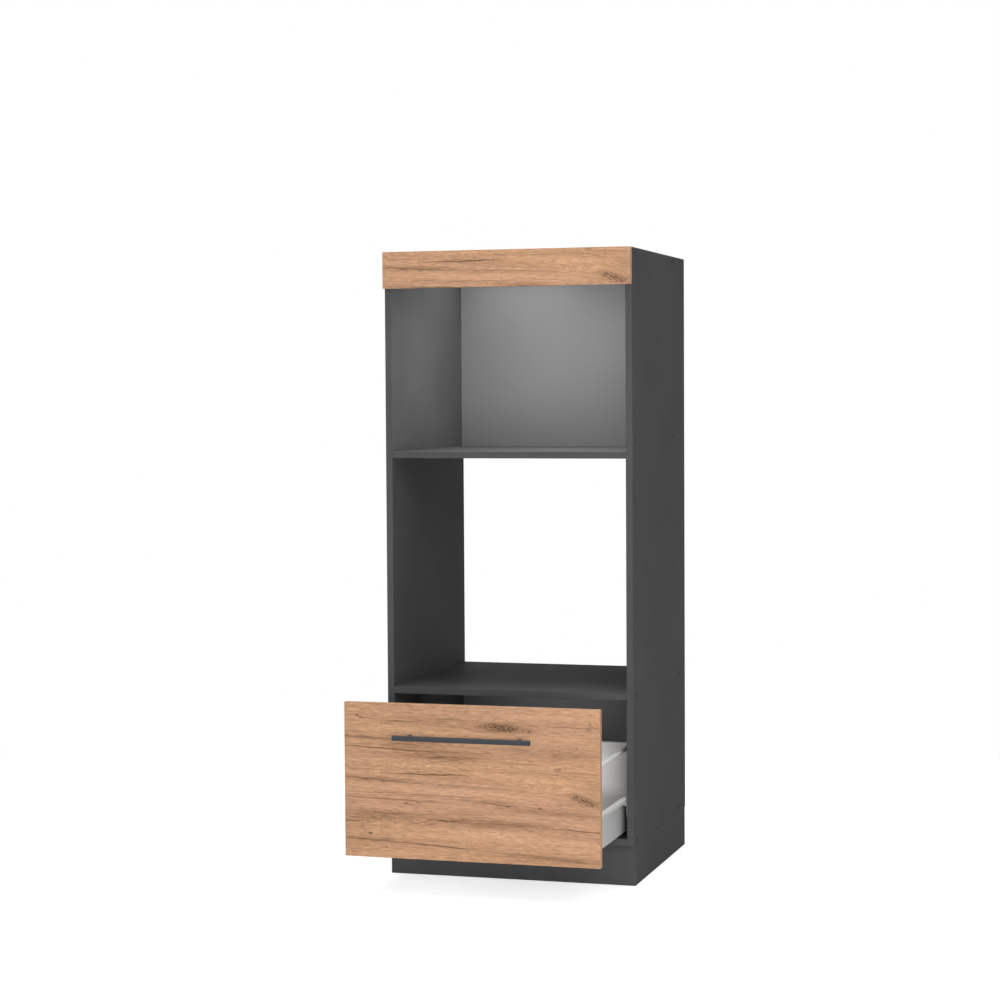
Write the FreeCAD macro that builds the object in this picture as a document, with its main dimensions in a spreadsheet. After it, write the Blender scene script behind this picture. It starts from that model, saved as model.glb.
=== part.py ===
"""Oven housing cabinet: a board carcass with an upper niche, an open oven niche and a pull-out drawer.

X runs to the right and Y to the rear as seen from the front, Z is up, and lengths are millimetres. The origin
lies on the floor under the middle of the plinth's front board. The drawer stands part way open.
"""
import FreeCAD, Part
import operator
import os
from types import SimpleNamespace

import Sketcher

# Driving sizes
SIZES = {
    # Carcass boards
    "width": 600,                 # over both side panels
    "depth": 560,                 # front edges to rear edges of the side panels
    "board": 16,                  # thickness of every carcass, plinth and drawer board
    "edge_round": 1,              # rounding of the edge bands
    "drawer_bay_height": 323,     # clear height between bottom panel and oven shelf
    "oven_niche_height": 543,     # clear height for the oven
    "upper_niche_height": 454,    # clear height between upper shelf and top panel
    # Hardboard backs in grooves of the side panels
    "back_thickness": 3,
    "back_inset": 11,             # rear edge of a side panel to the back's rear face
    "groove_depth": 7,
    "groove_play": 0.1,           # gap on each face of a back inside its groove
    "groove_end_gap": 0.5,        # gap between a back's edge and the groove's floor
    # Facing boards
    "facing": 16,                 # thickness of the top fascia and the drawer front
    "fascia_height": 86,
    # Plinth
    "plinth_height": 96,
    "plinth_setback": 18,         # plinth front face behind the carcass front edges
    "plinth_rear_gap": 6,         # plinth rear end ahead of the carcass rear edges
    # Carcass fixings
    "lower_fixing_front": 40,     # screws of bottom panel and oven shelf, from the front edges
    "lower_fixing_rear": 60,      # the same, from the rear edges
    "upper_fixing_front": 37,     # screws of the top panel and the spare holes, from the front edges
    "upper_fixing_rear": 122,     # the same, from the rear edges
    "spare_hole_rise": 27,        # capped spare holes above the upper shelf's top face
    "dowel_spacing": 64,          # a dowel's place from the screw or cam lock next to it
    "dowel_radius": 4,
    "dowel_bite": 11,             # depth of a dowel in a board's face
    "dowel_tail": 19,             # depth of a dowel in a board's end
    "dowel_chamfer": 0.8,
    "hole_gap": 0.05,             # radial gap between a fastener and its hole
    "hole_end_gap": 0.5,          # gap between a fastener's tip and the bottom of its hole
    "long_screw_head": 5,         # radii of the long carcass screw
    "long_screw_collar": 3.5,
    "long_screw_thread": 3.2,
    "long_screw_head_height": 3,
    "long_screw_bite": 34,        # length of thread in the end of a board
    "long_screw_tip": 3,
    "cap_radius": 7.5,
    "cap_thickness": 1,
    "cap_chamfer": 0.5,
    "cap_stem_radius": 2,
    "cap_stem_length": 6,
    "cam_radius": 7.5,
    "cam_depth": 12.5,
    "cam_inset": 24,              # cam lock's centre from the end of the shelf
    "cam_front": 60,              # cam locks from the shelf's front and rear edges
    "cam_bolt_radius": 3,
    # Small pan-head screw, used for brackets, backs, runners and the drawer
    "screw_head": 3.5,
    "screw_head_height": 1.8,
    "screw_shank": 1.75,
    "screw_recess": 1.2,          # radius of the cross recess
    "screw_recess_depth": 0.9,
    "screw_cover": 5,             # board left between a small screw's tip and the far face
    "back_screw_inset": 60,       # outer back panel screws from the inner faces of the sides
    # Angle bracket
    "bracket_leg": 30,
    "bracket_width": 18,
    "bracket_steel": 2,
    "bracket_hole": 2.75,         # hole radius
    "bracket_hole_at": 20,        # hole from the bracket's corner
    "fascia_bracket_spacing": 360,
    "plinth_bracket_spacing": 300,
    "wall_bracket_spacing": 480,
    "wall_screw_hole": 5,         # radius of the hole in the back panel for a wall screw
    # Drawer front and handle
    "rest_opening": 285,          # how far the drawer stands open
    "full_opening": 350,          # where the runner's stop holds it
    "closed_gap": 2,              # drawer front to carcass front edges when shut
    "front_reveal": 2,            # drawer front's ends inside the outer faces of the side panels
    "front_lift": 6,              # lower edge of the drawer front above the carcass underside
    "front_rise": 1,              # upper edge of the drawer front above the oven shelf's top face
    "bumper_radius": 4.5,
    "bumper_height": 1.6,
    "bumper_inset": 14,           # bumpers from the drawer front's upper and lower edges
    "handle_length": 320,
    "handle_radius": 6,
    "handle_chamfer": 0.6,
    "handle_posts_apart": 256,
    "handle_post_radius": 4.5,
    "handle_reach": 30,           # drawer front's face to the bar's axis
    "handle_drop": 74,            # drawer front's upper edge to the bar's axis
    "handle_offset": -13,         # bar's middle from the drawer front's middle
    "handle_saddle_gap": 0.05,
    "handle_screw_radius": 2,
    "handle_screw_head": 4,
    "handle_screw_head_height": 2.4,
    "handle_screw_bite": 10,      # length of thread in a post
    # Drawer box
    "steel": 1.2,                 # sheet of the drawer sides and runners
    "sheet_round": 0.4,
    "drawer_length": 450,
    "drawer_lift": 9,             # steel sides above the bottom panel
    "drawer_side_height": 84,
    "drawer_side_gap": 15.5,      # steel side's wall to the carcass side
    "drawer_flange_gap": 2.5,     # top flange's lip to the carcass side
    "drawer_lip": 8,              # depth of the lip
    "drawer_foot": 14,            # width of the flange under the drawer bottom
    "drawer_tab": 26,             # width of the tab behind the drawer back
    "drawer_tab_inset": 8,        # tab's ends from the top and bottom of the steel side
    "drawer_board_gap": 0.2,      # drawer boards to the steel sides
    "drawer_back_height": 193,
    "drawer_screw_end": 70,       # outer drawer bottom screws from the ends of the drawer bottom
    "drawer_back_screw_rise": 22, # drawer back's screws from the ends of the tab
    "rail_radius": 5,
    "rail_rise": 188,             # gallery rail's axis above the foot of the steel side
    "rail_inset": 6.5,            # gallery rail's axis inside the steel side's wall
    "socket_wall": 1.5,
    "socket_length": 12,
    "socket_floor": 2,
    "socket_stem_radius": 4,
    "socket_stem_length": 9,
    "front_bracket_plate": 24,
    "front_bracket_leg": 40,
    "front_bracket_height": 40,
    "front_bracket_steel": 1.5,
    "front_bracket_rise": 29,     # bracket's lower edge above the foot of the steel side
    "front_bracket_hole_at": 10,  # screws and rivets from the bracket's upper and lower edges
    "rivet_radius": 2,
    "rivet_head": 3,
    "rivet_head_height": 0.8,
    # Runners and rollers
    "runner_length": 450,
    "runner_inset": 2,            # runner's front end behind the carcass front edges
    "runner_lip_gap": 1.5,        # runner's flanges to the steel side's wall
    "runner_headroom": 9,         # web above the front roller's axis
    "channel_drop": 27,           # front roller's axis above the channel's floor
    "channel_play": 1,            # rear roller's free height in the channel
    "channel_start": 52,          # channel's front end behind the carcass front edges
    "runner_screw_end": 90,       # outer runner screws from the runner's ends
    "stop_height": 4.5,
    "front_roller_radius": 10,
    "front_roller_inset": 32,     # axis behind the carcass front edges
    "rear_roller_radius": 9,
    "rear_roller_inset": 13,      # axis ahead of the drawer's rear end
    "roller_width": 8,
    "roller_chamfer": 0.8,
    "roller_gap": 0.3,            # rollers to the faces they roll on
    "roller_play": 0.2,           # along the axle, on each side
    "axle_radius": 2,
    "axle_clearance": 0.05,       # radial running clearance
    "axle_collar": 2.8,
    "axle_head": 3.2,
    "axle_head_height": 0.8,
}

OPERATIONS = {"+": operator.add, "-": operator.sub, "*": operator.mul, "/": operator.truediv}


class Size:
    """A length that carries its value and the sheet formula that gives it."""

    def __init__(self, value, formula):
        self.value = value
        self.formula = formula

    def __add__(self, other):
        return joined(self, "+", other)

    def __radd__(self, other):
        return joined(other, "+", self)

    def __sub__(self, other):
        return joined(self, "-", other)

    def __rsub__(self, other):
        return joined(other, "-", self)

    def __mul__(self, other):
        return joined(self, "*", other)

    def __rmul__(self, other):
        return joined(other, "*", self)

    def __truediv__(self, other):
        return joined(self, "/", other)

    def __neg__(self):
        return joined(0, "-", self)


def size(value):
    """The value as a Size, also where it is a plain number."""
    if isinstance(value, Size):
        return value
    return Size(value, f"{value:g}")


def joined(left, sign, right):
    """The Size that an operation on two sizes gives."""
    left = size(left)
    right = size(right)
    return Size(OPERATIONS[sign](left.value, right.value), f"({left.formula} {sign} {right.formula})")


document = FreeCAD.newDocument("oven_housing")
sheet = document.addObject("Spreadsheet::Sheet", "Sizes")
for row, (alias, value) in enumerate(SIZES.items(), start=1):
    sheet.set(f"A{row}", alias)
    sheet.set(f"B{row}", str(value))
    sheet.setAlias(f"B{row}", alias)
document.recompute()
d = SimpleNamespace(**{alias: Size(value, f"Sizes.{alias}") for alias, value in SIZES.items()})

LEFT_AND_RIGHT = {"left": -1, "right": 1}
REARWARD = (0, 1, 0)
FORWARD = (0, -1, 0)
UPWARD = (0, 0, 1)
RIGHTWARD = (1, 0, 0)
LEFTWARD = (-1, 0, 0)
nodes = []
blanks = {}
holes = {}


# Building helpers
def node(item, label):
    """Names an object as one sub-part of the cabinet."""
    item.Label = label
    nodes.append(item)
    return item


def place(item, point, turn=None):
    """Puts an object at a point that follows the sheet."""
    base = FreeCAD.Vector(*(size(value).value for value in point))
    item.Placement = FreeCAD.Placement(base, turn or FreeCAD.Rotation())
    for axis, value in zip("xyz", point):
        item.setExpression(f"Placement.Base.{axis}", size(value).formula)


def axis_turn(direction):
    """The turn that points an object's own Z axis along a direction."""
    return FreeCAD.Rotation(FreeCAD.Vector(*UPWARD), FreeCAD.Vector(*direction))


def moved(point, direction, distance):
    """The point at a distance along a direction."""
    return tuple(value + step * distance if step else value for value, step in zip(point, direction))


def block(name, low, high):
    """A plain block between two corners."""
    item = document.addObject("Part::Box", name)
    for side, start, end in zip(("Length", "Width", "Height"), low, high):
        item.setExpression(side, size(end - start).formula)
    place(item, low)
    return item


def cylinder(name, start, direction, radius, length):
    """A round bar from a point along a direction."""
    item = document.addObject("Part::Cylinder", name)
    item.setExpression("Radius", size(radius).formula)
    item.setExpression("Height", size(length).formula)
    place(item, start, axis_turn(direction))
    return item


def outline(body, name, plane, points):
    """A closed sketch through corner points that follow the sheet."""
    sketch = body.newObject("Sketcher::SketchObject", name)
    support = next(feature for feature in body.Origin.OriginFeatures if feature.Role == plane)
    sketch.AttachmentSupport = [(support, "")]
    sketch.MapMode = "FlatFace"
    corners = [FreeCAD.Vector(size(across).value, size(along).value, 0) for across, along in points]
    for start, end in zip(corners, corners[1:] + corners[:1]):
        sketch.addGeometry(Part.LineSegment(start, end), False)
    for line in range(len(points)):
        sketch.addConstraint(Sketcher.Constraint("Coincident", line, 2, (line + 1) % len(points), 1))
    for line, corner in enumerate(points):
        for kind, value in zip(("DistanceX", "DistanceY"), corner):
            number = sketch.addConstraint(Sketcher.Constraint(kind, -1, 1, line, 1, size(value).value))
            sketch.setExpression(f"Constraints[{number}]", size(value).formula)
    return sketch


def padded(name, plane, points, length, rounding=None):
    """A body padded from an outline, to the rear where the outline is upright, with its edges rounded."""
    body = document.addObject("PartDesign::Body", name)
    pad = body.newObject("PartDesign::Pad", f"{name}_pad")
    pad.Profile = outline(body, f"{name}_outline", plane, points)
    pad.Reversed = plane == "XZ_Plane"
    pad.setExpression("Length", size(length).formula)
    if rounding is not None:
        document.recompute()
        fillet = body.newObject("PartDesign::Fillet", f"{name}_edges")
        fillet.Base = (pad, ["Edge1"])
        fillet.UseAllEdges = True
        fillet.setExpression("Radius", size(rounding).formula)
    return body


def turned(name, points):
    """A body turned about its Z axis from an outline of radii and heights."""
    body = document.addObject("PartDesign::Body", name)
    turn = body.newObject("PartDesign::Revolution", f"{name}_turn")
    sketch = outline(body, f"{name}_outline", "XZ_Plane", points)
    turn.Profile = sketch
    turn.ReferenceAxis = (sketch, ["V_Axis"])
    return body


def board(name, low, high):
    """A board with rounded edges, kept as a blank until its holes are known."""
    length, width, height = (size(end - start) for start, end in zip(low, high))
    corners = [(0, 0), (length, 0), (length, width), (0, width)]
    blanks[name] = padded(f"{name}_blank", "XY_Plane", corners, height, d.edge_round)
    place(blanks[name], low)
    holes[name] = []


def drill(name, start, direction, radius, depth):
    """Adds a round hole to a board, from just outside its face."""
    holes[name].append(cylinder(f"{name}_hole", start, direction, radius, depth))


def fused(name, items):
    item = document.addObject("Part::MultiFuse", name)
    item.Shapes = items
    return item


def cut(name, base, tools):
    """The base with one or more tools taken away."""
    item = document.addObject("Part::Cut", name)
    item.Base = base
    item.Tool = tools[0] if len(tools) == 1 else fused(f"{name}_tools", tools)
    return item


def mirrored(name, source):
    """The same piece on the cabinet's other side."""
    item = document.addObject("Part::Mirroring", name)
    item.Source = source
    item.Normal = FreeCAD.Vector(*RIGHTWARD)
    return item


def right_and_left(name, right):
    """Two nodes: the right piece and its mirror image."""
    node(right, f"{name}_right")
    node(mirrored(f"{name}_left", right), f"{name}_left")


def copies(name, master, places):
    """One node of equal pieces, each at a point and along a direction."""
    links = []
    for point, direction in places:
        link = document.addObject("App::Link", f"{name}_copy")
        link.LinkedObject = master
        place(link, point, axis_turn(direction))
        links.append(link)
    return group(name, links)


def group(name, items):
    item = document.addObject("Part::Compound", name)
    item.Links = items
    return node(item, name)


# Main planes
outer = d.width / 2
inner = outer - d.board
front = -(d.plinth_setback + d.board / 2)
rear = front + d.depth
back_rear = rear - d.back_inset
back_front = back_rear - d.back_thickness
carcass_low = d.plinth_height
bay_floor = carcass_low + d.board
oven_shelf_low = bay_floor + d.drawer_bay_height
oven_floor = oven_shelf_low + d.board
upper_shelf_low = oven_floor + d.oven_niche_height
upper_floor = upper_shelf_low + d.board
top_low = upper_floor + d.upper_niche_height
top = top_low + d.board

# Carcass boards
for word, side in LEFT_AND_RIGHT.items():
    low_x = inner if side > 0 else -outer
    board(f"side_panel_{word}", (low_x, front, carcass_low), (low_x + d.board, rear, top))
LEVELS = {
    "bottom_panel": carcass_low,
    "oven_shelf": oven_shelf_low,
    "upper_shelf": upper_shelf_low,
    "top_panel": top_low,
}
for name, low_z in LEVELS.items():
    board(name, (-inner, front, low_z), (inner, back_front, low_z + d.board))
board("top_fascia", (-outer, front - d.facing, top - d.fascia_height), (outer, front, top))

# Plinth boards
plinth_front_low = -d.board / 2
plinth_front_high = d.board / 2
plinth_rear = rear - d.plinth_rear_gap
board("plinth_front", (-outer, plinth_front_low, 0), (outer, plinth_front_high, d.plinth_height))
for word, side in LEFT_AND_RIGHT.items():
    low_x = inner if side > 0 else -outer
    board(
        f"plinth_side_{word}",
        (low_x, plinth_front_high, 0),
        (low_x + d.board, plinth_rear, d.plinth_height),
    )
board("plinth_rear", (-inner, plinth_rear - d.board, 0), (inner, plinth_rear, d.plinth_height))

# Hardboard backs and their grooves
groove_floor = inner + d.groove_depth
back_half = groove_floor - d.groove_end_gap
BACKS = {"upper_back_panel": (upper_shelf_low, top), "lower_back_panel": (carcass_low, oven_floor)}
for name, (low_z, high_z) in BACKS.items():
    blanks[name] = block(f"{name}_blank", (-back_half, back_front, low_z), (back_half, back_rear, high_z))
    holes[name] = []
    for word, side in LEFT_AND_RIGHT.items():
        low_x = inner if side > 0 else -groove_floor
        holes[f"side_panel_{word}"].append(
            block(
                f"{name}_groove",
                (low_x, back_front - d.groove_play, low_z - d.groove_play),
                (low_x + d.groove_depth, back_rear + d.groove_play, high_z + d.groove_play),
            )
        )

# Small pan-head screw, its origin at the head's top
screw_length = d.board - d.screw_cover
small_screw = turned(
    "small_screw",
    [
        (0, d.screw_recess_depth),
        (d.screw_recess, 0),
        (d.screw_head - d.screw_head_height / 3, 0),
        (d.screw_head, d.screw_head_height / 2),
        (d.screw_head, d.screw_head_height),
        (d.screw_shank, d.screw_head_height),
        (d.screw_shank, d.screw_head_height + screw_length - d.screw_shank),
        (0, d.screw_head_height + screw_length),
    ],
)


def small_screw_at(places, board_name, face, direction, plate):
    """Seats a small screw on a plate that lies on a board, and drills the board for it."""
    places.append((moved(face, direction, -plate - d.screw_head_height), direction))
    drill(board_name, face, direction, d.screw_shank + d.hole_gap, screw_length - plate + d.hole_end_gap)


# Long carcass screws, caps and dowels
long_screw_length = d.board + d.long_screw_bite
long_screw = turned(
    "long_screw",
    [
        (d.cap_stem_radius + d.hole_gap, 0),
        (d.long_screw_head, 0),
        (d.long_screw_head, d.long_screw_head_height),
        (d.long_screw_collar, d.long_screw_head_height),
        (d.long_screw_collar, d.board),
        (d.long_screw_thread, d.board),
        (d.long_screw_thread, long_screw_length - d.long_screw_tip),
        (0, long_screw_length),
        (0, d.cap_stem_length + d.hole_end_gap),
        (d.cap_stem_radius + d.hole_gap, d.cap_stem_length + d.hole_end_gap),
    ],
)
screw_cap = turned(
    "screw_cap",
    [
        (0, 0),
        (d.cap_radius - d.cap_chamfer, 0),
        (d.cap_radius, d.cap_chamfer),
        (d.cap_radius, d.cap_thickness),
        (d.cap_stem_radius, d.cap_thickness),
        (d.cap_stem_radius, d.cap_thickness + d.cap_stem_length),
        (0, d.cap_thickness + d.cap_stem_length),
    ],
)
dowel_length = d.dowel_bite + d.dowel_tail
dowel = turned(
    "dowel",
    [
        (0, 0),
        (d.dowel_radius - d.dowel_chamfer, 0),
        (d.dowel_radius, d.dowel_chamfer),
        (d.dowel_radius, dowel_length - d.dowel_chamfer),
        (d.dowel_radius - d.dowel_chamfer, dowel_length),
        (0, dowel_length),
    ],
)


def dowel_at(places, face_board, end_board, seam, direction):
    """A dowel across a seam, from the face of one board into the end of another."""
    against = tuple(-step for step in direction)
    places.append((moved(seam, against, d.dowel_bite), direction))
    drill(face_board, seam, against, d.dowel_radius + d.hole_gap, d.dowel_bite + d.hole_end_gap)
    drill(end_board, seam, direction, d.dowel_radius + d.hole_gap, d.dowel_tail + d.hole_end_gap)


long_screws = []
caps = []
dowels = []
lower_rows = (front + d.lower_fixing_front, rear - d.lower_fixing_rear)
upper_rows = (front + d.upper_fixing_front, rear - d.upper_fixing_rear)
SCREWED = {"bottom_panel": lower_rows, "oven_shelf": lower_rows, "top_panel": upper_rows}
for word, side in LEFT_AND_RIGHT.items():
    inward = (-side, 0, 0)
    side_panel = f"side_panel_{word}"
    for name, rows in SCREWED.items():
        z = LEVELS[name] + d.board / 2
        for y in rows:
            head = (side * outer, y, z)
            long_screws.append((head, inward))
            caps.append(((side * (outer + d.cap_thickness), y, z), inward))
            drill(side_panel, head, inward, d.long_screw_head + d.hole_gap, d.long_screw_head_height)
            drill(side_panel, head, inward, d.long_screw_collar + d.hole_gap, d.board)
            drill(
                name,
                (side * inner, y, z),
                inward,
                d.long_screw_thread + d.hole_gap,
                d.long_screw_bite + d.hole_end_gap,
            )
        for y in (rows[0] + d.dowel_spacing, rows[1] - d.dowel_spacing):
            dowel_at(dowels, side_panel, name, (side * inner, y, z), inward)
    for y in upper_rows:
        spare = (side * outer, y, upper_floor + d.spare_hole_rise)
        caps.append((moved(spare, inward, -d.cap_thickness), inward))
        drill(side_panel, spare, inward, d.cap_stem_radius + d.hole_gap, d.cap_stem_length + d.hole_end_gap)

# Cam locks of the upper shelf
cam_lock = turned(
    "cam_lock",
    [
        (0, d.screw_recess_depth),
        (d.screw_recess, 0),
        (d.cam_radius, 0),
        (d.cam_radius, d.cam_depth),
        (0, d.cam_depth),
    ],
)
cam_bolt_length = d.dowel_bite + d.cam_inset - d.cam_radius
cam_bolt = turned(
    "cam_bolt",
    [(0, 0), (d.cam_bolt_radius, 0), (d.cam_bolt_radius, cam_bolt_length), (0, cam_bolt_length)],
)
cam_locks = []
cam_bolts = []
upper_shelf_middle = upper_shelf_low + d.board / 2
cam_rows = (front + d.cam_front, back_front - d.cam_front)
for word, side in LEFT_AND_RIGHT.items():
    inward = (-side, 0, 0)
    outward = (side, 0, 0)
    for y in cam_rows:
        seam = (side * inner, y, upper_shelf_middle)
        lock = (side * (inner - d.cam_inset), y, upper_shelf_low)
        cam_locks.append((lock, UPWARD))
        cam_bolts.append((moved(seam, outward, d.dowel_bite), inward))
        drill("upper_shelf", lock, UPWARD, d.cam_radius + d.hole_gap, d.cam_depth + d.hole_gap)
        drill("upper_shelf", seam, inward, d.cam_bolt_radius + d.hole_gap, d.cam_inset)
        drill(f"side_panel_{word}", seam, outward, d.cam_bolt_radius + d.hole_gap, d.dowel_bite + d.hole_gap)
    for y in (cam_rows[0] + d.dowel_spacing, cam_rows[1] - d.dowel_spacing):
        dowel_at(dowels, f"side_panel_{word}", "upper_shelf", (side * inner, y, upper_shelf_middle), inward)
copies("carcass_screws", long_screw, long_screws)
copies("screw_caps", screw_cap, caps)
copies("carcass_dowels", dowel, dowels)
copies("shelf_cam_locks", cam_lock, cam_locks)
copies("shelf_cam_bolts", cam_bolt, cam_bolts)

# Plinth dowels: front board to side boards, side boards to rear rail
plinth_dowels = []
for word, side in LEFT_AND_RIGHT.items():
    for z in (d.plinth_height / 4, d.plinth_height * 3 / 4):
        corner = (side * (inner + d.board / 2), plinth_front_high, z)
        dowel_at(plinth_dowels, "plinth_front", f"plinth_side_{word}", corner, REARWARD)
        corner = (side * inner, plinth_rear - d.board / 2, z)
        dowel_at(plinth_dowels, f"plinth_side_{word}", "plinth_rear", corner, (-side, 0, 0))
copies("plinth_dowels", dowel, plinth_dowels)

# Screws through the backs into the rear edges of the boards in front of them
back_screws = []
BACK_SEAMS = {
    "bottom_panel": "lower_back_panel",
    "oven_shelf": "lower_back_panel",
    "upper_shelf": "upper_back_panel",
    "top_panel": "upper_back_panel",
}
for name, back in BACK_SEAMS.items():
    for x in (d.back_screw_inset - inner, size(0), inner - d.back_screw_inset):
        face = (x, back_front, LEVELS[name] + d.board / 2)
        small_screw_at(back_screws, name, face, FORWARD, d.back_thickness)
        drill(back, face, REARWARD, d.screw_shank + d.hole_gap, d.back_thickness)
copies("back_panel_screws", small_screw, back_screws)

# Angle brackets, one leg under a board and the other against an upright face
bracket_legs = padded(
    "bracket_legs",
    "YZ_Plane",
    [
        (0, 0),
        (d.bracket_leg, 0),
        (d.bracket_leg, -d.bracket_steel),
        (d.bracket_steel, -d.bracket_steel),
        (d.bracket_steel, -d.bracket_leg),
        (0, -d.bracket_leg),
    ],
    d.bracket_width,
)
angle_bracket = cut(
    "angle_bracket",
    bracket_legs,
    [
        cylinder(
            "bracket_leg_hole",
            (d.bracket_width / 2, d.bracket_hole_at, -d.bracket_steel),
            UPWARD,
            d.bracket_hole,
            d.bracket_steel,
        ),
        cylinder(
            "bracket_wall_hole",
            (d.bracket_width / 2, 0, -d.bracket_hole_at),
            REARWARD,
            d.bracket_hole,
            d.bracket_steel,
        ),
    ],
)
bracket_screws = []
QUARTER_TURNS = {REARWARD: 0, LEFTWARD: 90, FORWARD: 180, RIGHTWARD: 270}


def bracket_at(links, name, corner, away, over, upright=None):
    """A bracket in the corner under one board, with its leg pointing away from the upright face."""
    turn = FreeCAD.Rotation(FreeCAD.Vector(*UPWARD), QUARTER_TURNS[away])
    to_side = (-away[1], away[0], 0)
    link = document.addObject("App::Link", f"{name}_copy")
    link.LinkedObject = angle_bracket
    place(link, moved(corner, to_side, d.bracket_width / 2), turn)
    links.append(link)
    leg_face = moved(corner, away, d.bracket_hole_at)
    small_screw_at(bracket_screws, over, leg_face, UPWARD, d.bracket_steel)
    if upright is not None:
        wall_face = moved(corner, UPWARD, -d.bracket_hole_at)
        towards = tuple(-step for step in away)
        small_screw_at(bracket_screws, upright, wall_face, towards, d.bracket_steel)


fascia_brackets = []
plinth_brackets = []
wall_brackets = []
for word, side in LEFT_AND_RIGHT.items():
    fascia_corner = (side * d.fascia_bracket_spacing / 2, front, top_low)
    bracket_at(fascia_brackets, "fascia_brackets", fascia_corner, REARWARD, "top_panel", "top_fascia")
    front_corner = (side * d.plinth_bracket_spacing / 2, plinth_front_high, d.plinth_height)
    bracket_at(plinth_brackets, "plinth_brackets", front_corner, REARWARD, "bottom_panel", "plinth_front")
    rear_corner = (side * d.plinth_bracket_spacing / 2, plinth_rear - d.board, d.plinth_height)
    bracket_at(plinth_brackets, "plinth_brackets", rear_corner, FORWARD, "bottom_panel", "plinth_rear")
    side_corner = (side * inner, (plinth_front_high + plinth_rear) / 2, d.plinth_height)
    plinth_side = f"plinth_side_{word}"
    bracket_at(plinth_brackets, "plinth_brackets", side_corner, (-side, 0, 0), "bottom_panel", plinth_side)
    wall_corner = (side * d.wall_bracket_spacing / 2, back_front, top_low)
    bracket_at(wall_brackets, "wall_brackets", wall_corner, FORWARD, "top_panel")
    wall_hole = moved(wall_corner, UPWARD, -d.bracket_hole_at)
    drill("upper_back_panel", wall_hole, REARWARD, d.wall_screw_hole, d.back_thickness)
group("fascia_brackets", fascia_brackets)
group("plinth_brackets", plinth_brackets)
group("wall_brackets", wall_brackets)
copies("bracket_screws", small_screw, bracket_screws)

# Places of the drawer at rest
front_face_rear = front - d.closed_gap - d.rest_opening
front_face = front_face_rear - d.facing
drawer_rear = front_face_rear + d.drawer_length
tab_front = drawer_rear - d.steel
drawer_back_front = tab_front - d.board
side_foot = bay_floor + d.drawer_lift
side_top = side_foot + d.drawer_side_height
wall_outer = inner - d.drawer_side_gap
wall_inner = wall_outer - d.steel
lip_outer = inner - d.drawer_flange_gap
lip_inner = lip_outer - d.steel
drawer_half = wall_inner - d.drawer_board_gap
drawer_floor_low = side_foot + d.steel

# Drawer boards
front_half = outer - d.front_reveal
front_low = carcass_low + d.front_lift
front_high = oven_floor + d.front_rise
board("drawer_front", (-front_half, front_face, front_low), (front_half, front_face_rear, front_high))
board(
    "drawer_bottom",
    (-drawer_half, front_face_rear, drawer_floor_low),
    (drawer_half, drawer_back_front, drawer_floor_low + d.board),
)
drawer_back_high = drawer_floor_low + d.drawer_back_height
board(
    "drawer_back",
    (-drawer_half, drawer_back_front, drawer_floor_low),
    (drawer_half, tab_front, drawer_back_high),
)

# Steel drawer sides: foot, wall, top flange and lip in one bent sheet, with a tab at the rear
side_sheet = padded(
    "drawer_side_sheet",
    "XZ_Plane",
    [
        (wall_outer - d.drawer_foot, side_foot),
        (wall_outer, side_foot),
        (wall_outer, side_top - d.steel),
        (lip_inner, side_top - d.steel),
        (lip_inner, side_top - d.drawer_lip),
        (lip_outer, side_top - d.drawer_lip),
        (lip_outer, side_top),
        (wall_inner, side_top),
        (wall_inner, side_foot + d.steel),
        (wall_outer - d.drawer_foot, side_foot + d.steel),
    ],
    d.drawer_length,
    d.sheet_round,
)
place(side_sheet, (0, front_face_rear, 0))
side_tab = block(
    "drawer_side_tab",
    (wall_inner - d.drawer_tab, tab_front, side_foot + d.drawer_tab_inset),
    (wall_inner + d.steel / 2, drawer_rear, side_top - d.drawer_tab_inset),
)
side_holes = []
drawer_screws = []
foot_line = wall_outer - d.drawer_foot / 2
tab_line = wall_inner - d.drawer_tab / 2
bottom_rows = (
    front_face_rear + d.drawer_screw_end,
    (front_face_rear + drawer_back_front) / 2,
    drawer_back_front - d.drawer_screw_end,
)
tab_rows = (
    side_foot + d.drawer_tab_inset + d.drawer_back_screw_rise,
    side_top - d.drawer_tab_inset - d.drawer_back_screw_rise,
)
for y in bottom_rows:
    for side in LEFT_AND_RIGHT.values():
        face = (side * foot_line, y, drawer_floor_low)
        small_screw_at(drawer_screws, "drawer_bottom", face, UPWARD, d.steel)
    hole = (foot_line, y, side_foot)
    side_holes.append(cylinder("drawer_foot_hole", hole, UPWARD, d.screw_shank + d.hole_gap, d.steel))
for z in tab_rows:
    for side in LEFT_AND_RIGHT.values():
        face = (side * tab_line, tab_front, z)
        small_screw_at(drawer_screws, "drawer_back", face, FORWARD, d.steel)
    hole = (tab_line, tab_front, z)
    side_holes.append(cylinder("drawer_tab_hole", hole, REARWARD, d.screw_shank + d.hole_gap, d.steel))
copies("drawer_screws", small_screw, drawer_screws)

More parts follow.
